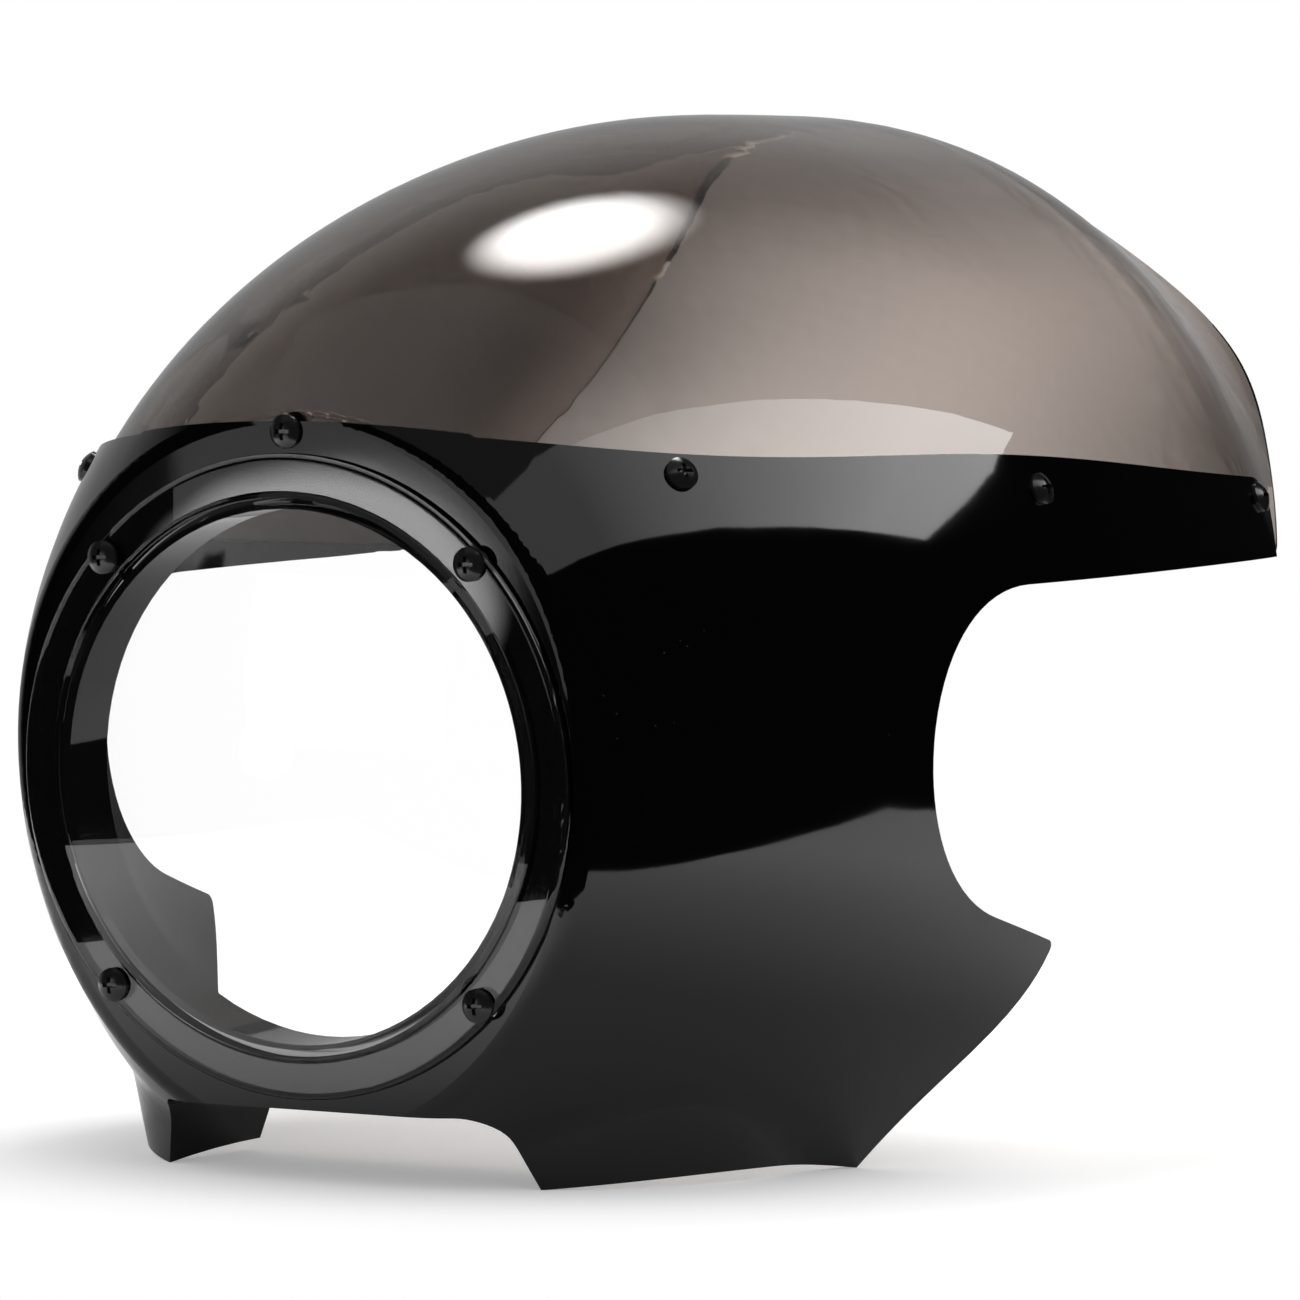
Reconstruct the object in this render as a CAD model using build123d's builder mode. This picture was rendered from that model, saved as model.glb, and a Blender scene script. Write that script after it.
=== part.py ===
"""Motorbike headlight cowl: a moulded shell, a clear lens over its opening and a smoked windscreen."""

import os
from math import asin, atan2, cos, exp, hypot, radians, sin, sqrt

from build123d import *

# Dome that the shell and the windscreen both follow (mm; +Y runs rearwards, +Z up)
dome_half_width = 180.5
dome_half_height = 209.3
dome_nose_length = 351.0
dome_pole_y = -64.5
dome_centre_z = 11.7
dome_tail_length = 420.0
dome_station_shares = (0.145, 0.185, 0.23, 0.30, 0.42, 0.60, 0.80, 1.0, 1.18, 1.36)
brow_drop = 12.0
brow_fade = 25.0
foot_knee_z = -88.0
foot_half_width = 118.0
foot_half_length = 104.0
foot_centre_y = 110.0
foot_taper = 12.0
foot_blend_radius = 20.0
nose_edge_radius = 8.0

# Walls and clearances
shell_wall = 3.0
screen_wall = 2.2
seat_gap = 0.2
face_gap = 0.05

# Headlight opening, whose face leans forward at the top
lamp_lean = 3.3
opening_radius = 82.5
collar_depth = 19.0
collar_wall = 3.0

# Side outline of the shell
floor_z = -126.2
tip_y = 36.0
heel_y = 151.3
sole_rise = 4.0
wing_low_y = 155.5
wing_low_z = -110.5
wing_mid_y = 176.0
wing_mid_z = -84.3
wing_corner_y = 193.5
wing_corner_z = -54.2
wing_corner_radius = 3.0
notch_centre_y = 174.0
notch_centre_z = 7.0
notch_radius = 53.7
arm_end_low_y = 342.0
arm_end_low_z = 68.5
arm_end_high_y = 350.0
arm_end_high_z = 95.0
arm_corner_radius = 9.0
arm_top_rear_y = 290.0
arm_top_rear_z = 97.2
arm_top_mid_y = 165.0
arm_top_mid_z = 101.9
arm_top_dip_y = 54.0
arm_top_dip_z = 100.6
brow_side_x = 68.0
brow_side_y = 4.0
brow_side_z = 105.2
brow_top_z = 109.6

# Arch under the lens
arch_half_width = 60.5
arch_foot_half_width = 69.0
arch_top_z = -103.2
arch_corner_radius = 12.0
arch_lining_y = 85.0

# Side outline of the windscreen
screen_front_z = 97.0
screen_bend_y = 62.0
screen_bend_z = 74.0
screen_heel_y = 353.0
screen_heel_z = 69.5
screen_heel_radius = 10.0
screen_rear_low_y = 381.0
screen_rear_low_z = 101.0
screen_tail_y = 401.5
screen_tail_z = 138.0
screen_rear_high_y = 378.0
screen_rear_high_z = 181.5
screen_top_y = 326.0
screen_top_z = 219.0

# Lens
lens_radius = 100.0
lens_flange = 3.0
lens_edge_radius = 2.4
lens_step_radius = 88.5
lens_step_height = 2.2
lens_step_width = 2.0
lens_dome_height = 12.0
lens_wall = 2.8

# Fasteners
screw_radius = 2.5
screw_length = 14.0
head_radius = 5.3
head_height = 3.2
head_edge = 1.2
recess_span = 5.2
recess_width = 1.3
recess_depth = 1.7
hole_radius = 2.75
washer_radius = 5.5
washer_thickness = 1.0
nut_across_flats = 8.0
nut_height = 4.0
bore_gap = 0.1
rim_probe_turns = range(0, 360, 45)
lens_screw_circle = 94.9
lens_screw_turns = (45.0, 135.0, 225.0, 315.0)
front_screw_z = 106.8
side_screw_places = ((46.0, 94.5), (190.0, 90.8), (338.5, 88.5))

# Blank sizes that only have to reach past the part
past = 40.0
reach = 500.0

lean = radians(lamp_lean)
lamp_forward = Vector(0, -cos(lean), -sin(lean))
lamp = Plane(origin=(0, 0, 0), x_dir=(1, 0, 0), z_dir=lamp_forward)
dome_centre_y = dome_pole_y + dome_nose_length
screen_inset = shell_wall + seat_gap


def dome_radii(y, inset):
    """Half width, height above and depth below the dome's centre line at one place along it."""
    length = dome_nose_length - inset if y < dome_centre_y else dome_tail_length
    share = sqrt(1.0 - ((dome_centre_y - y) / length) ** 2)
    height = (dome_half_height - inset) * share
    above = height - brow_drop * exp(-y / brow_fade)
    return (dome_half_width - inset) * share, above, height


def dome_solid(inset):
    """Solid dome with a flat front parallel to the lamp's face, drawn in by inset all round."""
    stations = [dome_pole_y + share * dome_nose_length for share in dome_station_shares]
    with BuildPart() as dome:
        for y in stations:
            half_width, above, below = dome_radii(y, inset)
            with BuildSketch(Plane(origin=(0, y, dome_centre_z), x_dir=(1, 0, 0), z_dir=(0, -1, 0))):
                with BuildLine():
                    EllipticalCenterArc((0, 0), half_width, above, 0, arc_size=180)
                    EllipticalCenterArc((0, 0), half_width, below, 180, arc_size=180)
                make_face()
        loft()
        split(bisect_by=lamp.offset(-inset), keep=Keep.BOTTOM)
        front = dome.faces().filter_by(GeomType.PLANE).sort_by(Axis.Y)[0]
        fillet(front.edges(), nose_edge_radius - inset)
    return dome.part


def footed_dome(inset):
    """Dome with an oval foot below it, steeper than the dome and blended into it."""
    with BuildPart() as foot:
        with BuildSketch(Plane.XY.offset(foot_knee_z)):
            with Locations((0, foot_centre_y)):
                Ellipse(foot_half_width - inset, foot_half_length - inset)
        extrude(amount=floor_z - past - foot_knee_z, taper=foot_taper)
        split(bisect_by=lamp.offset(-inset), keep=Keep.BOTTOM)
    with BuildPart() as footed:
        add(dome_solid(inset))
        add(foot.part)
        fillet(footed.edges(Select.NEW), foot_blend_radius + inset)
    return footed.part


def arch_outline(grow):
    """Outline of the arch under the lens, grown all round by the wall of its lining."""
    top, half, foot_half = arch_top_z + grow, arch_half_width + grow, arch_foot_half_width + grow
    with BuildSketch() as outline:
        Polygon(
            (-half, top),
            (-foot_half, floor_z),
            (-foot_half, floor_z - past),
            (foot_half, floor_z - past),
            (foot_half, floor_z),
            (half, top),
            align=None,
        )
        fillet(outline.vertices().group_by(Axis.Y)[-1], arch_corner_radius + grow)
    return outline.sketch


def touch_point(point, centre, radius, side):
    """Point where a line from a point touches a circle, left (1) or right (-1) of the way to its centre."""
    away = hypot(centre[0] - point[0], centre[1] - point[1])
    heading = atan2(centre[1] - point[1], centre[0] - point[0]) + side * asin(radius / away)
    length = sqrt(away ** 2 - radius ** 2)
    return point[0] + length * cos(heading), point[1] + length * sin(heading)


def crown(rim_radius, rim_height, rise):
    """Ball-shaped cap that rises from a round rim at one height."""
    ball_radius = (rim_radius ** 2 + rise ** 2) / (2 * rise)
    with BuildPart() as cap:
        with BuildSketch(Plane.XY.offset(rim_height)):
            Circle(rim_radius)
        extrude(amount=rise)
        with Locations((0, 0, rim_height + rise - ball_radius)):
            Sphere(ball_radius, rotation=(90, 0, 0), mode=Mode.INTERSECT)
    return cap.part


def screw_seat(start, direction):
    """Plane on the shell's outer face where a line meets it, with its normal pointing out."""
    point, normal = outer_dome.find_intersection_points(Axis(start, direction))[0]
    return Plane(origin=point, z_dir=normal)


def grip(seat):
    """Depth behind a seat at which a washer's rim first clears the windscreen's inner face."""
    depths = []
    for turn in map(radians, rim_probe_turns):
        start = seat.from_local_coords((washer_radius * cos(turn), washer_radius * sin(turn), 0))
        hits = screen_inner.find_intersection_points(Axis(start, -seat.z_dir))
        depths.append(min((point - start).length for point, normal in hits))
    return max(depths)


def placed(shape, planes):
    """One node made of copies of a fastener, each standing on its own plane."""
    with BuildPart() as group:
        with Locations(*planes):
            add(shape)
    return group.part


outer_dome = footed_dome(0.0)
shell_inner = footed_dome(shell_wall)
screen_outer = dome_solid(screen_inset)
screen_inner = dome_solid(screen_inset + screen_wall)

# Screw places: four round the lens, one in the brow and three along each side
lens_screw_points = [
    (lens_screw_circle * cos(turn), lens_screw_circle * sin(turn), 0)
    for turn in map(radians, lens_screw_turns)
]
lens_seats = [Plane(lamp * Location(point)) for point in lens_screw_points]
brow_start = Vector(0, 0, front_screw_z) + lamp_forward * reach
screen_seats = [screw_seat(brow_start, -lamp_forward)]
for side in (1, -1):
    screen_seats += [screw_seat((side * reach, y, z), (-side, 0, 0)) for y, z in side_screw_places]
screen_grips = [grip(seat) for seat in screen_seats]

# Shell: hollow dome with a collar behind the opening, trimmed by its side outline, arch and brow
wing_corner = (wing_corner_y, wing_corner_z)
notch_centre = (notch_centre_y, notch_centre_z)
arm_end_low = (arm_end_low_y, arm_end_low_z)
notch_low = touch_point(wing_corner, notch_centre, notch_radius, 1)
notch_high = touch_point(arm_end_low, notch_centre, notch_radius, -1)
heel = (heel_y, floor_z)
with BuildPart() as arch_lining:
    with BuildSketch(Plane.XZ):
        add(arch_outline(shell_wall))
    extrude(amount=-arch_lining_y)
    add(outer_dome, mode=Mode.INTERSECT)

with BuildPart() as cowl_shell:
    add(outer_dome)
    add(shell_inner, mode=Mode.SUBTRACT)
    add(arch_lining.part)
    with BuildSketch(lamp.offset(-shell_wall / 2)):
        Circle(opening_radius + collar_wall)
    extrude(amount=-(collar_depth - shell_wall / 2))
    with BuildSketch(lamp):
        Circle(opening_radius)
    extrude(amount=past, both=True, mode=Mode.SUBTRACT)
    with BuildSketch(Plane.YZ) as side_outline:
        with BuildLine():
            Line((-past, floor_z), (tip_y, floor_z))
            ThreePointArc((tip_y, floor_z), ((tip_y + heel_y) / 2, floor_z + sole_rise), heel)
            Spline(heel, (wing_low_y, wing_low_z), (wing_mid_y, wing_mid_z), wing_corner)
            Line(wing_corner, notch_low)
            ThreePointArc(notch_low, (notch_centre_y - notch_radius, notch_centre_z), notch_high)
            Line(notch_high, arm_end_low)
            Line(arm_end_low, (arm_end_high_y, arm_end_high_z))
            Spline(
                (arm_end_high_y, arm_end_high_z),
                (arm_top_rear_y, arm_top_rear_z),
                (arm_top_mid_y, arm_top_mid_z),
                (arm_top_dip_y, arm_top_dip_z),
                (brow_side_y, brow_side_z),
            )
            Polyline(
                (brow_side_y, brow_side_z),
                (brow_side_y, brow_top_z + past),
                (-past, brow_top_z + past),
                (-past, floor_z),
            )
        make_face()
        corners = side_outline.vertices()
        fillet(corners.sort_by_distance((arm_end_high_y, arm_end_high_z))[0], arm_corner_radius)
        corners = side_outline.vertices()
        fillet(corners.sort_by_distance(wing_corner)[0], wing_corner_radius)
    extrude(amount=reach, both=True, mode=Mode.INTERSECT)
    with BuildSketch(Plane.XZ.offset(-brow_side_y)):
        with BuildLine():
            ThreePointArc((-brow_side_x, brow_side_z), (0, brow_top_z), (brow_side_x, brow_side_z))
            Polyline(
                (brow_side_x, brow_side_z),
                (reach, brow_side_z),
                (reach, reach),
                (-reach, reach),
                (-reach, brow_side_z),
                (-brow_side_x, brow_side_z),
            )
        make_face()
    extrude(amount=past + brow_side_y, mode=Mode.SUBTRACT)
    with BuildSketch(Plane.XZ):
        add(arch_outline(0.0))
    extrude(amount=reach, both=True, mode=Mode.SUBTRACT)
    with Locations(*lens_seats, *screen_seats):
        Cylinder(hole_radius, past / 2, mode=Mode.SUBTRACT)

# Windscreen: a thinner dome inside the shell, with a rounded heel and a curved tail
screen_heel = (screen_heel_y, screen_heel_z)
with BuildPart() as windscreen:
    add(screen_outer)
    add(screen_inner, mode=Mode.SUBTRACT)
    with BuildSketch(Plane.YZ) as screen_outline:
        with BuildLine():
            Line((-past, screen_front_z), (0, screen_front_z))
            Spline(
                (0, screen_front_z),
                (screen_bend_y, screen_bend_z),
                tangents=((screen_bend_y, screen_bend_z - screen_front_z), (1, 0)),
            )
            Line((screen_bend_y, screen_bend_z), screen_heel)
            Spline(
                screen_heel,
                (screen_rear_low_y, screen_rear_low_z),
                (screen_tail_y, screen_tail_z),
                (screen_rear_high_y, screen_rear_high_z),
                (screen_top_y, screen_top_z),
            )
            Polyline(
                (screen_top_y, screen_top_z),
                (screen_top_y, reach),
                (-past, reach),
                (-past, screen_front_z),
            )
        make_face()
        corners = screen_outline.vertices()
        fillet(corners.sort_by_distance(screen_heel)[0], screen_heel_radius)
    extrude(amount=reach, both=True, mode=Mode.INTERSECT)
    with Locations(*screen_seats):
        Cylinder(hole_radius, past / 2, mode=Mode.SUBTRACT)

# Lens: flat flange, small step and a shallow dome, drawn flat and then set on the lamp's face
step_top = lens_flange + lens_step_height
dome_rim = lens_step_radius - lens_step_width
inner_top = step_top - lens_wall
inner_rim = dome_rim - lens_wall
with BuildPart() as lens_form:
    with BuildSketch(Plane.XY.offset(face_gap)):
        Circle(lens_radius)
    extrude(amount=lens_flange - face_gap)
    fillet(lens_form.edges().group_by(Axis.Z)[-1], lens_edge_radius)
    with Locations((0, 0, lens_flange)):
        Cone(lens_step_radius, dome_rim, lens_step_height, align=(Align.CENTER, Align.CENTER, Align.MIN))
    add(crown(dome_rim, step_top, lens_dome_height))
    with Locations((0, 0, face_gap)):
        Cone(
            inner_rim + lens_step_width,
            inner_rim,
            inner_top - face_gap,
            align=(Align.CENTER, Align.CENTER, Align.MIN),
            mode=Mode.SUBTRACT,
        )
    add(crown(inner_rim, inner_top, lens_dome_height), mode=Mode.SUBTRACT)
    with Locations(*lens_screw_points):
        Cylinder(hole_radius, past / 2, mode=Mode.SUBTRACT)
headlight_lens = placed(lens_form.part, [lamp])

# Fasteners, each drawn standing on its seat with its head up
with BuildPart() as pan_screw:
    with BuildSketch():
        Circle(head_radius)
    extrude(amount=head_edge)
    add(crown(head_radius, head_edge, head_height - head_edge))
    with BuildSketch(Plane.XY.offset(head_height)):
        Rectangle(recess_span, recess_width)
        Rectangle(recess_width, recess_span)
    extrude(amount=-recess_depth, mode=Mode.SUBTRACT)
    with BuildSketch():
        Circle(screw_radius)
    extrude(amount=-screw_length)

with BuildPart() as plain_washer:
    with BuildSketch():
        Circle(washer_radius)
        Circle(screw_radius + bore_gap, mode=Mode.SUBTRACT)
    extrude(amount=-washer_thickness)

with BuildPart() as hex_nut:
    with BuildSketch():
        RegularPolygon(nut_across_flats / 2, 6, major_radius=False)
        Circle(screw_radius + bore_gap, mode=Mode.SUBTRACT)
    extrude(amount=-nut_height)

lens_washer_depth = shell_wall + face_gap
lens_nut_depth = lens_washer_depth + washer_thickness + face_gap
washer_planes = [seat.offset(-depth - face_gap) for seat, depth in zip(screen_seats, screen_grips)]
nut_planes = [plane.offset(-washer_thickness - face_gap) for plane in washer_planes]
lens_screws = placed(pan_screw.part, [seat.offset(lens_flange + face_gap) for seat in lens_seats])
lens_washers = placed(plain_washer.part, [seat.offset(-lens_washer_depth) for seat in lens_seats])
lens_nuts = placed(hex_nut.part, [seat.offset(-lens_nut_depth) for seat in lens_seats])
windscreen_screws = placed(pan_screw.part, [seat.offset(face_gap) for seat in screen_seats])
windscreen_washers = placed(plain_washer.part, washer_planes)
windscreen_nuts = placed(hex_nut.part, nut_planes)

os.makedirs("parts", exist_ok=True)
for label, piece in (
    ("cowl_shell", cowl_shell.part),
    ("windscreen", windscreen.part),
    ("headlight_lens", headlight_lens),
    ("lens_screws", lens_screws),
    ("lens_washers", lens_washers),
    ("lens_nuts", lens_nuts),
    ("windscreen_screws", windscreen_screws),
    ("windscreen_washers", windscreen_washers),
    ("windscreen_nuts", windscreen_nuts),
):
    piece.label = label
    export_step(piece, f"parts/{label}.step")
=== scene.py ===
"""Looks for a motorbike headlight cowl: gloss-black shell, smoked windscreen, clear lens, black screws."""

from math import cos, pi, radians, sin

import bpy
from mathutils import Matrix, Vector


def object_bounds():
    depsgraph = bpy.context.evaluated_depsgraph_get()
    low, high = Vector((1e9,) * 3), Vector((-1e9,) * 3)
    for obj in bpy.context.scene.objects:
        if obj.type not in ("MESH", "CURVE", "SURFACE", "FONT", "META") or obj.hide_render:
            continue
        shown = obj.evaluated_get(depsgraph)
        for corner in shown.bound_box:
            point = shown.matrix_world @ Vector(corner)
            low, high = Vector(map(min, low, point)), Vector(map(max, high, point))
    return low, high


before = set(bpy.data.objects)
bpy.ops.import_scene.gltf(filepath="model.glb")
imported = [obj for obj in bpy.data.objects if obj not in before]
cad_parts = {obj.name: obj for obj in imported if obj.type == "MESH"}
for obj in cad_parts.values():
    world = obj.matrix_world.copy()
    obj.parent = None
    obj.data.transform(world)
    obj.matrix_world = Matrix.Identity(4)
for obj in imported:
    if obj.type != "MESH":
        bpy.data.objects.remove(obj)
cad_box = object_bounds()

bl_info = {
    "name": "Headlight Cowl",
    "version": (1, 0, 0),
    "blender": (4, 5, 0),
    "location": "3D View > Sidebar > Cowl",
    "description": "Finishes a motorbike headlight cowl and its studio",
    "category": "Object",
}

MM = 0.001

# Places in the studio, in metres
FEET_MIDDLE = (0.0, 0.12, -0.126)
TABLE_RIGHT, TABLE_REAR = 0.8, 0.95
CEILING = 1.0
CARD_FRONT, CARD_REAR = -0.2, 1.1
CEILING_PANEL = [(0.30, -1.0, CEILING), (0.90, -1.0, CEILING), (2.05, 1.50, CEILING), (1.10, 1.60, CEILING)]
FRONT_CEILING = [(-0.75, -1.0, CEILING), (0.30, -1.0, CEILING), (0.68, 0.25, CEILING), (-0.75, 0.25, CEILING)]
FRONT_WINDOW = [(-0.89, -1.24, -0.105), (-0.2, -1.45, -0.105), (-0.2, -1.45, 0.4), (-0.89, -1.24, 0.4)]

# Levels of the studio, as shares of white
DARK_ROOM, LIGHT_WALL = 0.012, 0.4
SOFT_LIGHT = 0.75
LENS_LOSS = 0.1

# Rim and full part of the room's light wall, as cosines of the angle from its middle
WALL_RIM, WALL_FULL = 0.55, 0.85

# Glow of the table by the distance from the middle of the feet, as seen straight and as seen in gloss: it is
# weaker near the feet, a painted shade round them.
TABLE_GLOW_AND_PAINTED_SHADE = {"From_Min": 0.1, "From_Max": 0.2, "To_Min": 0.3, "To_Max": 0.5}
MIRRORED_GLOW_AND_PAINTED_SHADE = {"From_Min": 0.2, "From_Max": 0.5, "To_Min": 0.0, "To_Max": 0.8}

# The card seen only through the smoked sheet, a painted reflection of the studio: its level at the left and
# right, the share of it kept at the right end, and its bright spots, each with a middle, a reach and a peak
# level.
# Places are shares of its width and height.
PAINTED_REFLECTION_LEFT, PAINTED_REFLECTION_RIGHT, PAINTED_REFLECTION_END = 0.04, 0.38, 0.6
PAINTED_REFLECTION_SPOTS = (((0.62, 0.02), 0.30, 0.70), ((0.72, 0.30), 0.28, 0.70))


class CowlFinishes(bpy.types.PropertyGroup):
    """Colours and finishes of the cowl's materials."""

    shell_colour: bpy.props.StringProperty(
        name="Shell colour", description="sRGB colour of the gloss-black ABS", default="#030304")
    shell_roughness: bpy.props.FloatProperty(
        name="Shell roughness", description="Roughness of the moulded gloss", default=0.045, min=0.0, max=1.0)
    shell_wave: bpy.props.FloatProperty(
        name="Shell wave", description="Length of the slow waves that moulding leaves in the gloss",
        default=55 * MM, unit="LENGTH")
    shell_dust: bpy.props.FloatProperty(
        name="Dust spacing", description="Spacing of the faint specks of dust on the shell",
        default=6 * MM, unit="LENGTH")
    smoke_colour: bpy.props.StringProperty(
        name="Smoke colour", description="sRGB colour that the smoked sheet lets through", default="#b49f90")
    smoke_density: bpy.props.FloatProperty(
        name="Smoke density", description="How fast the smoked sheet takes light up, per metre",
        default=560.0, min=0.0)
    lens_tint: bpy.props.StringProperty(
        name="Lens tint", description="sRGB tint of the clear lens", default="#ffffff")
    steel_colour: bpy.props.StringProperty(
        name="Screw colour", description="sRGB colour of the blackened screws", default="#161617")
    zinc_colour: bpy.props.StringProperty(
        name="Zinc colour", description="sRGB colour of the zinc-plated nuts and washers", default="#b9bcc0")


class CowlStudio(bpy.types.PropertyGroup):
    """Camera and light of the studio."""

    view_turn: bpy.props.FloatProperty(
        name="View turn", description="How far the camera stands round from the front",
        default=radians(30.21), subtype="ANGLE")
    view_rise: bpy.props.FloatProperty(
        name="View rise", description="How far the camera looks down",
        default=radians(1.61), subtype="ANGLE")
    view_roll: bpy.props.FloatProperty(
        name="View roll", description="How far the camera leans about its own axis",
        default=radians(0.62), subtype="ANGLE")
    view_distance: bpy.props.FloatProperty(
        name="View distance", description="From the camera to the plane through the opening's centre",
        default=2069 * MM, unit="LENGTH")
    view_side: bpy.props.FloatProperty(
        name="View side", description="How far the camera stands to the right of the opening",
        default=109.6 * MM, unit="LENGTH")
    view_lift: bpy.props.FloatProperty(
        name="View lift", description="How far the camera stands above the opening",
        default=39.2 * MM, unit="LENGTH")
    view_lens: bpy.props.FloatProperty(
        name="Focal length", description="Camera's focal length on a 36 mm wide sensor, in millimetres",
        default=186.06)
    table_turn: bpy.props.FloatProperty(
        name="Table turn", description="Way that the table's front edge faces, round from the front",
        default=radians(45), subtype="ANGLE")
    table_front: bpy.props.FloatProperty(
        name="Table front", description="From the opening's centre to the table's front edge",
        default=0.235, unit="LENGTH")
    table_side: bpy.props.FloatProperty(
        name="Table side", description="From the opening's centre to the table's left edge",
        default=0.48, unit="LENGTH")
    light_turn: bpy.props.FloatProperty(
        name="Light side", description="Way that the light wall of the dark room lies, round from the front",
        default=radians(-135), subtype="ANGLE")


def linear(code):
    """Linear RGBA of an sRGB hex colour."""
    parts = [int(code[i:i + 2], 16) / 255 for i in (1, 3, 5)]
    return tuple(p / 12.92 if p <= 0.04045 else ((p + 0.055) / 1.055) ** 2.4 for p in parts) + (1.0,)


def new_tree(material):
    """An empty node tree of a material or world, with its output."""
    material.use_nodes = True
    tree = material.node_tree
    tree.nodes.clear()
    kind = "ShaderNodeOutputWorld" if isinstance(material, bpy.types.World) else "ShaderNodeOutputMaterial"
    return tree, tree.nodes.new(kind)


def node(tree, kind, settings=None, **inputs):
    """Adds a node, sets its settings and sets or links its inputs, named with _ for a space or numbered inN."""
    made = tree.nodes.new(kind)
    for name, value in (settings or {}).items():
        setattr(made, name, value)
    for name, value in inputs.items():
        socket = made.inputs[int(name[2:])] if name.startswith("in") and name[2:].isdigit() \
            else made.inputs[name.replace("_", " ")]
        if isinstance(value, bpy.types.NodeSocket):
            tree.links.new(value, socket)
        else:
            socket.default_value = value
    return made


def gloss_black_abs(finish):
    """Gloss-black ABS, moulded in a polished tool: deep black mirror gloss, slow waves and a little dust."""
    material = bpy.data.materials.new("gloss_black_ABS")
    tree, out = new_tree(material)
    place = node(tree, "ShaderNodeTexCoord").outputs["Object"]
    wave = node(tree, "ShaderNodeTexNoise", Vector=place, Scale=1 / finish.shell_wave, Detail=1.0)
    peel = node(tree, "ShaderNodeTexNoise", Vector=place, Scale=1 / (2.4 * MM), Detail=2.0)
    slow = node(tree, "ShaderNodeBump", Strength=1.0, Distance=0.10 * MM, Height=wave.outputs["Fac"])
    fine = node(tree, "ShaderNodeBump", Strength=1.0, Distance=0.0012 * MM, Height=peel.outputs["Fac"],
                Normal=slow.outputs["Normal"])
    speck = node(tree, "ShaderNodeTexVoronoi", Vector=place, Scale=1 / finish.shell_dust)
    dust = node(tree, "ShaderNodeMapRange", Value=speck.outputs["Distance"], From_Min=0.035, From_Max=0.06,
                To_Min=1.0, To_Max=0.0)
    patch = node(tree, "ShaderNodeTexNoise", Vector=place, Scale=1 / (70 * MM), Detail=3.0)
    patches = node(tree, "ShaderNodeMapRange", Value=patch.outputs["Fac"], From_Min=0.5, From_Max=0.7)
    dusty = node(tree, "ShaderNodeMath", {"operation": "MULTIPLY"}, in0=dust.outputs["Result"],
                 in1=patches.outputs["Result"])
    colour = node(tree, "ShaderNodeMix", {"data_type": "RGBA"}, Factor=dusty.outputs["Value"],
                  in6=linear(finish.shell_colour), in7=linear("#2b2b2c"))
    rough = node(tree, "ShaderNodeMapRange", Value=patch.outputs["Fac"], From_Min=0.3, From_Max=0.8,
                 To_Min=finish.shell_roughness * 0.6, To_Max=finish.shell_roughness * 1.6)
    shader = node(tree, "ShaderNodeBsdfPrincipled", Base_Color=colour.outputs[2], IOR=1.53,
                  Roughness=rough.outputs["Result"], Normal=fine.outputs["Normal"])
    tree.links.new(shader.outputs["BSDF"], out.inputs["Surface"])
    return material


def smoked_acrylic(finish):
    """Cast acrylic sheet dyed a warm smoke grey, drawn over a form: clear, glossy, darker when edge-on."""
    material = bpy.data.materials.new("smoked_acrylic")
    tree, out = new_tree(material)
    place = node(tree, "ShaderNodeTexCoord").outputs["Object"]
    wave = node(tree, "ShaderNodeTexNoise", Vector=place, Scale=1 / (80 * MM), Detail=1.0)
    bump = node(tree, "ShaderNodeBump", Strength=1.0, Distance=0.10 * MM, Height=wave.outputs["Fac"])
    haze = node(tree, "ShaderNodeMapRange", Value=wave.outputs["Fac"], To_Min=0.005, To_Max=0.02)
    shader = node(tree, "ShaderNodeBsdfPrincipled", Base_Color=(1.0, 1.0, 1.0, 1.0), IOR=1.49,
                  Roughness=haze.outputs["Result"], Normal=bump.outputs["Normal"], Transmission_Weight=1.0)
    smoke = node(tree, "ShaderNodeVolumeAbsorption", Color=linear(finish.smoke_colour),
                 Density=finish.smoke_density)
    tree.links.new(shader.outputs["BSDF"], out.inputs["Surface"])
    tree.links.new(smoke.outputs["Volume"], out.inputs["Volume"])
    return material


def clear_polycarbonate(finish):
    """Clear moulded polycarbonate: colourless and glossy, with slow moulding waves."""
    material = bpy.data.materials.new("clear_polycarbonate")
    tree, out = new_tree(material)
    place = node(tree, "ShaderNodeTexCoord").outputs["Object"]
    wave = node(tree, "ShaderNodeTexNoise", Vector=place, Scale=1 / (45 * MM), Detail=1.0)
    bump = node(tree, "ShaderNodeBump", Strength=1.0, Distance=0.06 * MM, Height=wave.outputs["Fac"])
    haze = node(tree, "ShaderNodeMapRange", Value=wave.outputs["Fac"], To_Min=0.0, To_Max=0.015)
    shader = node(tree, "ShaderNodeBsdfPrincipled", Base_Color=linear(finish.lens_tint), IOR=1.58,
                  Roughness=haze.outputs["Result"], Normal=bump.outputs["Normal"], Transmission_Weight=1.0)
    tree.links.new(shader.outputs["BSDF"], out.inputs["Surface"])
    return material


def blackened_steel(finish):
    """Steel screws blackened by oxide and oiled: near black with a soft sheen and a fine rolled grain."""
    material = bpy.data.materials.new("blackened_steel")
    tree, out = new_tree(material)
    place = node(tree, "ShaderNodeTexCoord").outputs["Object"]
    grain = node(tree, "ShaderNodeTexNoise", Vector=place, Scale=1 / (0.6 * MM), Detail=3.0)
    bump = node(tree, "ShaderNodeBump", Strength=0.6, Distance=0.012 * MM, Height=grain.outputs["Fac"])
    rough = node(tree, "ShaderNodeMapRange", Value=grain.outputs["Fac"], To_Min=0.12, To_Max=0.3)
    shader = node(tree, "ShaderNodeBsdfPrincipled", Base_Color=linear(finish.steel_colour), IOR=1.6,
                  Roughness=rough.outputs["Result"], Normal=bump.outputs["Normal"])
    tree.links.new(shader.outputs["BSDF"], out.inputs["Surface"])
    return material


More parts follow.
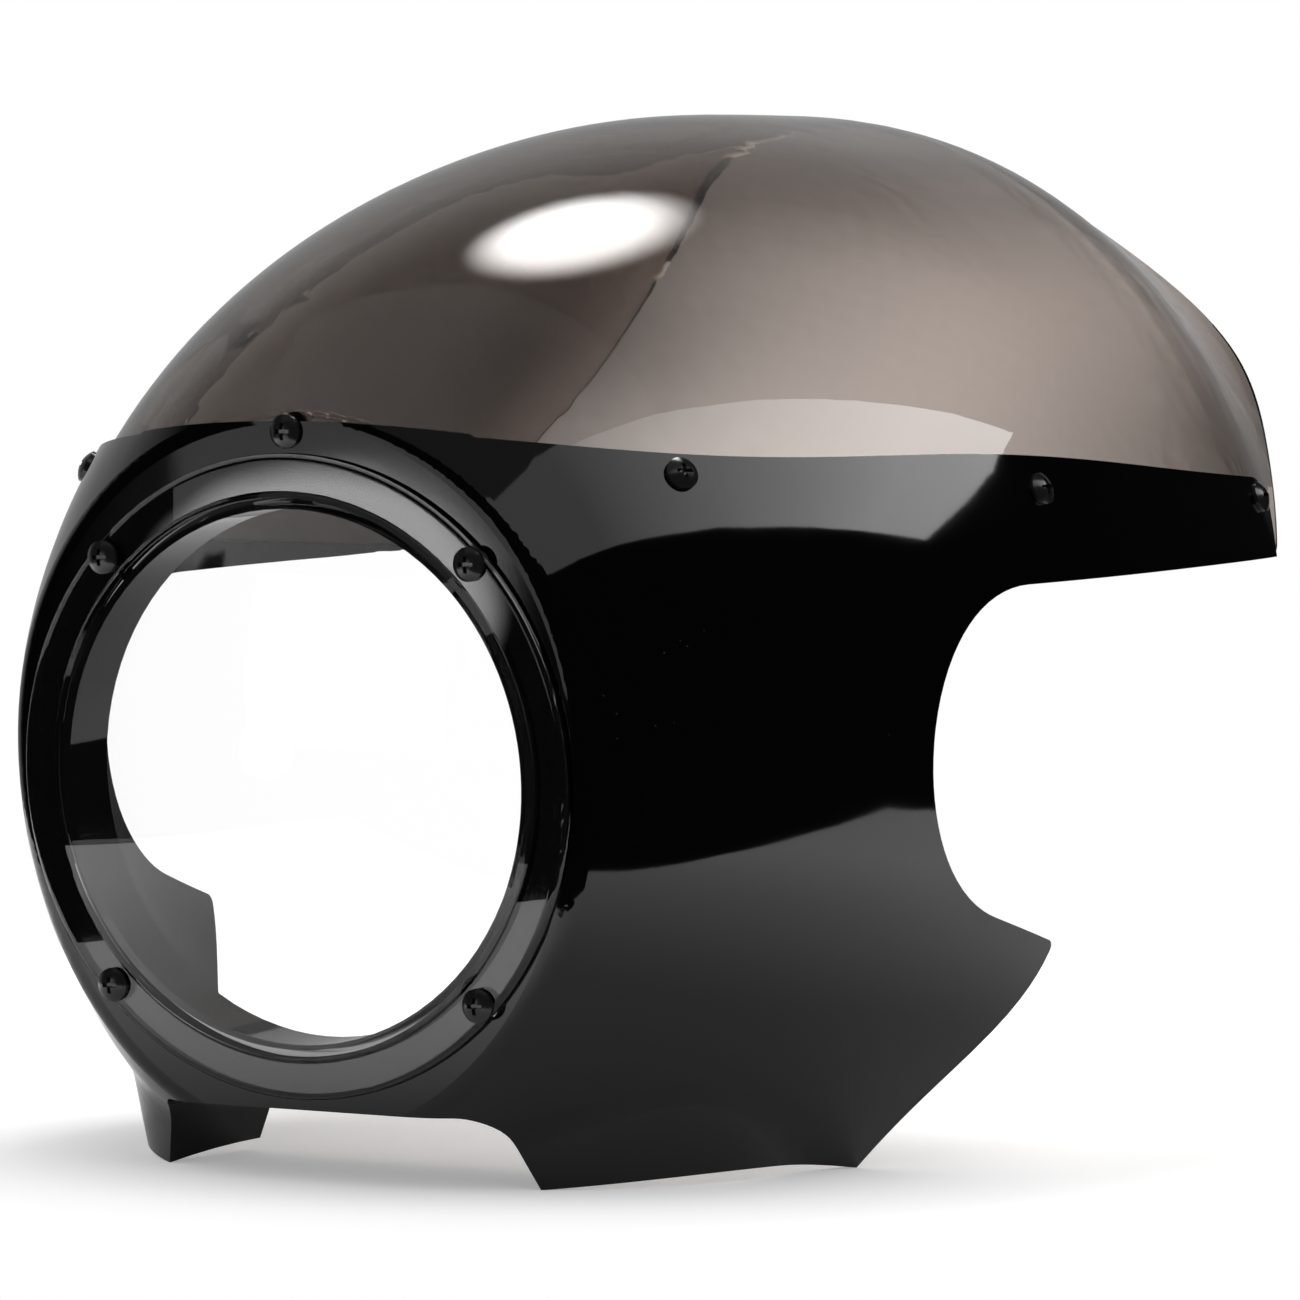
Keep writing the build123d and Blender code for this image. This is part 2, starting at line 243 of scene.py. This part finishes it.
def zinc_plated_steel(finish):
    """Zinc-plated steel nuts and washers: pale bluish metal with a fine spangle and a satin sheen."""
    material = bpy.data.materials.new("zinc_plated_steel")
    tree, out = new_tree(material)
    place = node(tree, "ShaderNodeTexCoord").outputs["Object"]
    grain = node(tree, "ShaderNodeTexNoise", Vector=place, Scale=1 / (0.8 * MM), Detail=4.0)
    rough = node(tree, "ShaderNodeMapRange", Value=grain.outputs["Fac"], To_Min=0.22, To_Max=0.45)
    bump = node(tree, "ShaderNodeBump", Strength=0.5, Distance=0.01 * MM, Height=grain.outputs["Fac"])
    shader = node(tree, "ShaderNodeBsdfPrincipled", Base_Color=linear(finish.zinc_colour), Metallic=1.0,
                  Roughness=rough.outputs["Result"], Normal=bump.outputs["Normal"])
    tree.links.new(shader.outputs["BSDF"], out.inputs["Surface"])
    return material


def dress(names, material):
    """Gives CAD nodes a finish through their material slots."""
    for name in names:
        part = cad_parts[name]
        for slot in part.material_slots:
            slot.material = material


class COWL_OT_shell(bpy.types.Operator):
    """Finish the moulded shell"""

    bl_idname = "cowl.shell"
    bl_label = "Shell"

    def execute(self, context):
        dress(["cowl_shell"], gloss_black_abs(context.scene.cowl_finishes))
        return {"FINISHED"}


class COWL_OT_windscreen(bpy.types.Operator):
    """Finish the smoked windscreen"""

    bl_idname = "cowl.windscreen"
    bl_label = "Windscreen"

    def execute(self, context):
        dress(["windscreen"], smoked_acrylic(context.scene.cowl_finishes))
        return {"FINISHED"}


class COWL_OT_lens(bpy.types.Operator):
    """Finish the clear lens"""

    bl_idname = "cowl.lens"
    bl_label = "Lens"

    def execute(self, context):
        dress(["headlight_lens"], clear_polycarbonate(context.scene.cowl_finishes))
        return {"FINISHED"}


class COWL_OT_fasteners(bpy.types.Operator):
    """Finish the screws, washers and nuts"""

    bl_idname = "cowl.fasteners"
    bl_label = "Fasteners"

    def execute(self, context):
        finish = context.scene.cowl_finishes
        dress(["lens_screws", "windscreen_screws"], blackened_steel(finish))
        dress(["lens_washers", "lens_nuts", "windscreen_washers", "windscreen_nuts"], zinc_plated_steel(finish))
        return {"FINISHED"}


def aim_camera(studio):
    """A camera that stands where the picture was taken from."""
    turn, rise, roll = studio.view_turn, studio.view_rise, studio.view_roll
    back = Vector((sin(turn) * cos(rise), -cos(turn) * cos(rise), sin(rise)))
    level_right = Vector((cos(turn), sin(turn), 0.0))
    level_up = back.cross(level_right)
    right = level_right * cos(roll) + level_up * sin(roll)
    up = level_up * cos(roll) - level_right * sin(roll)
    lens = bpy.data.cameras.new("camera")
    lens.lens = studio.view_lens
    lens.sensor_width = 36.0
    camera = bpy.data.objects.new("camera", lens)
    bpy.context.scene.collection.objects.link(camera)
    stand = back * studio.view_distance + right * studio.view_side + up * studio.view_lift
    camera.matrix_world = Matrix.Translation(stand) @ Matrix((right, up, back)).transposed().to_4x4()
    bpy.context.scene.camera = camera


def stage_object(name, corners, material):
    """A flat four-cornered piece of the studio, with its material, in the scene."""
    mesh = bpy.data.meshes.new(name)
    mesh.from_pydata(corners, [], [(0, 1, 2, 3)])
    mesh.materials.append(material)
    piece = bpy.data.objects.new(name, mesh)
    bpy.context.scene.collection.objects.link(piece)
    return piece


def straight_view(tree):
    """1 on rays from the camera, also through the clear pieces, and 0 on those that gloss has turned."""
    path = node(tree, "ShaderNodeLightPath").outputs
    turned = node(tree, "ShaderNodeMath", {"operation": "MINIMUM"}, in0=path["Glossy Depth"], in1=1.0)
    straight = node(tree, "ShaderNodeMath", {"operation": "SUBTRACT"}, in0=1.0, in1=turned.outputs["Value"])
    through = node(tree, "ShaderNodeMath", {"operation": "MULTIPLY"}, in0=path["Is Transmission Ray"],
                   in1=straight.outputs["Value"])
    seen = node(tree, "ShaderNodeMath", {"operation": "MAXIMUM"}, in0=path["Is Camera Ray"],
                in1=through.outputs["Value"])
    return seen.outputs["Value"], path


def white_table(studio):
    """A white table under the cowl, whose unshaded face reads as pure white and which keeps the shadow; its
    glow is weaker near the feet, straight and in gloss, a painted shade round them.
    """
    material = bpy.data.materials.new("white_table")
    tree, out = new_tree(material)
    seen, path = straight_view(tree)
    place = node(tree, "ShaderNodeTexCoord").outputs["Object"]
    middle = node(tree, "ShaderNodeVectorMath", {"operation": "DISTANCE"}, in0=place, in1=FEET_MIDDLE)
    # The glow is weaker near the feet, straight and in gloss: a painted shade round them.
    plain_glow_and_painted_shade = node(tree, "ShaderNodeMapRange", {"interpolation_type": "SMOOTHSTEP"},
                 Value=middle.outputs["Value"], **TABLE_GLOW_AND_PAINTED_SHADE)
    mirrored_glow_and_painted_shade = node(tree, "ShaderNodeMapRange", {"interpolation_type": "SMOOTHSTEP"},
                    Value=middle.outputs["Value"], **MIRRORED_GLOW_AND_PAINTED_SHADE)
    outside = node(tree, "ShaderNodeMath", {"operation": "LESS_THAN"}, in0=path["Transmission Depth"], in1=0.5)
    outer_gloss = node(tree, "ShaderNodeMath", {"operation": "MULTIPLY"}, in0=path["Is Glossy Ray"],
                       in1=outside.outputs["Value"])
    turned = node(tree, "ShaderNodeMath", {"operation": "MULTIPLY"}, in0=mirrored_glow_and_painted_shade.outputs["Result"],
                  in1=outer_gloss.outputs["Value"])
    # Emission that lifts the table to white, weaker near the feet: painted shade, also in the shell's gloss.
    lift = node(tree, "ShaderNodeMath", {"operation": "MULTIPLY_ADD"}, in0=seen, in1=plain_glow_and_painted_shade.outputs["Result"],
                in2=turned.outputs["Value"])
    diffuse = node(tree, "ShaderNodeBsdfDiffuse", Color=linear("#e6e6e6"))
    glow = node(tree, "ShaderNodeEmission", Strength=lift.outputs["Value"])
    both = node(tree, "ShaderNodeAddShader", in0=diffuse.outputs["BSDF"], in1=glow.outputs["Emission"])
    tree.links.new(both.outputs["Shader"], out.inputs["Surface"])

    left, front = -studio.table_side, -studio.table_front
    corners = [(left, front, 0), (TABLE_RIGHT, front, 0), (TABLE_RIGHT, TABLE_REAR, 0), (left, TABLE_REAR, 0)]
    table = stage_object("white_table", corners, material)
    under_cowl = Matrix.Translation((0, 0, cad_box[0].z))
    table.data.transform(under_cowl @ Matrix.Rotation(studio.table_turn, 4, "Z"))


def studio_world(studio):
    """White all round for the eye, soft light all round, and for the gloss a dark room with one light wall."""
    world = bpy.data.worlds.new("studio")
    bpy.context.scene.world = world
    tree, out = new_tree(world)
    seen, path = straight_view(tree)
    toward = (sin(studio.light_turn), -cos(studio.light_turn), 0.0)
    way = node(tree, "ShaderNodeTexCoord").outputs["Generated"]
    facing = node(tree, "ShaderNodeVectorMath", {"operation": "DOT_PRODUCT"}, in0=way, in1=toward)
    room = node(tree, "ShaderNodeMapRange", Value=facing.outputs["Value"], From_Min=WALL_RIM,
                From_Max=WALL_FULL, To_Min=DARK_ROOM, To_Max=LIGHT_WALL)
    soft = node(tree, "ShaderNodeMix", {"data_type": "FLOAT"}, Factor=path["Is Diffuse Ray"],
                in2=room.outputs["Result"], in3=SOFT_LIGHT)
    # The clear lens gives back about a tenth of the light, so the white behind it is raised by as much.
    white = node(tree, "ShaderNodeMath", {"operation": "MULTIPLY_ADD"}, in0=path["Is Transmission Ray"],
                 in1=LENS_LOSS, in2=1.0)
    level = node(tree, "ShaderNodeMix", {"data_type": "FLOAT"}, Factor=seen, in2=soft.outputs[0],
                 in3=white.outputs["Value"])
    sky = node(tree, "ShaderNodeBackground", Color=(1.0, 1.0, 1.0, 1.0), Strength=level.outputs[0])
    tree.links.new(sky.outputs["Background"], out.inputs["Surface"])


def lit_card(name, corners, front_level, rear_level):
    """A glowing card that only gloss sees, whose level runs from its front value to its rear value."""
    material = bpy.data.materials.new(name)
    tree, out = new_tree(material)
    place = node(tree, "ShaderNodeTexCoord").outputs["Object"]
    along = node(tree, "ShaderNodeSeparateXYZ", Vector=place).outputs["Y"]
    level = node(tree, "ShaderNodeMapRange", Value=along, From_Min=CARD_FRONT, From_Max=CARD_REAR,
                 To_Min=front_level, To_Max=rear_level)
    glow = node(tree, "ShaderNodeEmission", Strength=level.outputs["Result"])
    tree.links.new(glow.outputs["Emission"], out.inputs["Surface"])
    card = stage_object(name, corners[::-1], material)
    card.visible_camera = False
    card.visible_diffuse = False
    card.visible_transmission = False
    card.visible_shadow = False


def grey_backdrop(studio):
    """A card far behind that only the smoked sheet looks at, a painted reflection of the studio in the sheet:
    dim to the left, bright low in the middle.
    """
    material = bpy.data.materials.new("grey_backdrop")
    tree, out = new_tree(material)
    place = node(tree, "ShaderNodeTexCoord").outputs["UV"]
    across = node(tree, "ShaderNodeSeparateXYZ", Vector=place).outputs["X"]
    level = node(tree, "ShaderNodeMapRange", {"interpolation_type": "SMOOTHSTEP"}, Value=across, From_Min=0.38,
                 From_Max=0.58, To_Min=PAINTED_REFLECTION_LEFT, To_Max=PAINTED_REFLECTION_RIGHT).outputs["Result"]
    # Bright spots painted in as the studio's reflections in the smoked sheet.
    for middle, reach, peak in PAINTED_REFLECTION_SPOTS:
        away = node(tree, "ShaderNodeVectorMath", {"operation": "DISTANCE"}, in0=place, in1=(*middle, 0.0))
        spot = node(tree, "ShaderNodeMapRange", {"interpolation_type": "SMOOTHSTEP"},
                    Value=away.outputs["Value"], From_Min=0.0, From_Max=reach, To_Min=peak, To_Max=0.0)
        level = node(tree, "ShaderNodeMath", {"operation": "ADD"}, in0=level, in1=spot.outputs["Result"])
        level = level.outputs["Value"]
    end = node(tree, "ShaderNodeMapRange", {"interpolation_type": "SMOOTHSTEP"}, Value=across, From_Min=0.78,
               From_Max=0.87, To_Min=1.0, To_Max=PAINTED_REFLECTION_END)
    level = node(tree, "ShaderNodeMath", {"operation": "MULTIPLY"}, in0=level, in1=end.outputs["Result"])
    glow = node(tree, "ShaderNodeEmission", Strength=level.outputs["Value"])
    tree.links.new(glow.outputs["Emission"], out.inputs["Surface"])
    wide, low, high, behind = 0.36, 0.068, 0.34, 0.8
    corners = [(-wide, low, -behind), (wide, low, -behind), (wide, high, -behind), (-wide, high, -behind)]
    card = stage_object("grey_backdrop", corners, material)
    flat = card.data.uv_layers.new(name="UVMap")
    for corner, spot in zip(flat.data, ((0, 0), (1, 0), (1, 1), (0, 1))):
        corner.uv = spot
    to_cowl = Matrix.Translation((0, 0, -studio.view_distance))
    card.data.transform(bpy.context.scene.camera.matrix_world @ to_cowl)
    card.visible_camera = False
    card.visible_diffuse = False
    card.visible_glossy = False
    card.visible_shadow = False


def softbox(name, place, target, size, radiance, core):
    """An oval lamp at a place, facing a target, as bright as its radiance in the core and fading to its rim."""
    lamp = bpy.data.lights.new(name, "AREA")
    lamp.shape = "ELLIPSE"
    lamp.size, lamp.size_y = size
    lamp.energy = radiance * pi * pi / 4 * size[0] * size[1]
    lamp.use_nodes = True
    tree = lamp.node_tree
    spot = node(tree, "ShaderNodeNewGeometry").outputs["Parametric"]
    away = node(tree, "ShaderNodeVectorMath", {"operation": "DISTANCE"}, in0=spot, in1=(0.5, 0.5, 0.0))
    fade = node(tree, "ShaderNodeMapRange", {"interpolation_type": "SMOOTHSTEP"}, Value=away.outputs["Value"],
                From_Min=core / 2, From_Max=0.5, To_Min=1.0, To_Max=0.0)
    tree.links.new(fade.outputs["Result"], tree.nodes["Emission"].inputs["Strength"])
    box = bpy.data.objects.new(name, lamp)
    bpy.context.scene.collection.objects.link(box)
    facing = (Vector(target) - Vector(place)).to_track_quat("-Z", "Y")
    box.matrix_world = Matrix.Translation(place) @ facing.to_matrix().to_4x4()
    return box


class COWL_OT_studio(bpy.types.Operator):
    """Set up the table, the lamps, the room and the camera"""

    bl_idname = "cowl.studio"
    bl_label = "Studio"

    def execute(self, context):
        studio = context.scene.cowl_studio
        aim_camera(studio)
        white_table(studio)
        studio_world(studio)
        grey_backdrop(studio)
        lit_card("ceiling_panel", CEILING_PANEL, front_level=0.8, rear_level=3.8)
        lit_card("front_ceiling", FRONT_CEILING, front_level=0.15, rear_level=0.15)
        lit_card("front_window", FRONT_WINDOW, front_level=0.75, rear_level=0.75)
        softbox("top_box", place=(-0.2, 0.72, 1.35), target=(0.0, 0.12, 0.12), size=(0.66, 0.68), radiance=11.0,
                core=0.44)
        flange_box = softbox("flange_box", place=(-0.775, -1.20, -0.118), target=(0.0, 0.0, 0.05),
                             size=(0.21, 0.16), radiance=5.2, core=0.75)
        flange_box.visible_diffuse = False
        flange_box.visible_transmission = False
        context.scene.view_settings.view_transform = "Standard"
        return {"FINISHED"}


class COWL_PT_panel(bpy.types.Panel):
    """Lists the cowl's steps and values in the sidebar"""

    bl_idname = "COWL_PT_panel"
    bl_label = "Headlight Cowl"
    bl_space_type = "VIEW_3D"
    bl_region_type = "UI"
    bl_category = "Cowl"

    def draw(self, context):
        for step in STEPS:
            self.layout.operator(step.bl_idname)
        for group in (context.scene.cowl_finishes, context.scene.cowl_studio):
            box = self.layout.box()
            for name in group.__annotations__:
                box.prop(group, name)


STEPS = (COWL_OT_shell, COWL_OT_windscreen, COWL_OT_lens, COWL_OT_fasteners, COWL_OT_studio)
CLASSES = (CowlFinishes, CowlStudio, *STEPS, COWL_PT_panel)


def register():
    for cls in CLASSES:
        bpy.utils.register_class(cls)
    bpy.types.Scene.cowl_finishes = bpy.props.PointerProperty(type=CowlFinishes)
    bpy.types.Scene.cowl_studio = bpy.props.PointerProperty(type=CowlStudio)


def unregister():
    del bpy.types.Scene.cowl_studio
    del bpy.types.Scene.cowl_finishes
    for cls in reversed(CLASSES):
        bpy.utils.unregister_class(cls)


def main():
    register()
    bpy.ops.cowl.shell()
    bpy.ops.cowl.windscreen()
    bpy.ops.cowl.lens()
    bpy.ops.cowl.fasteners()
    bpy.ops.cowl.studio()


if __name__ == "__main__":
    main()
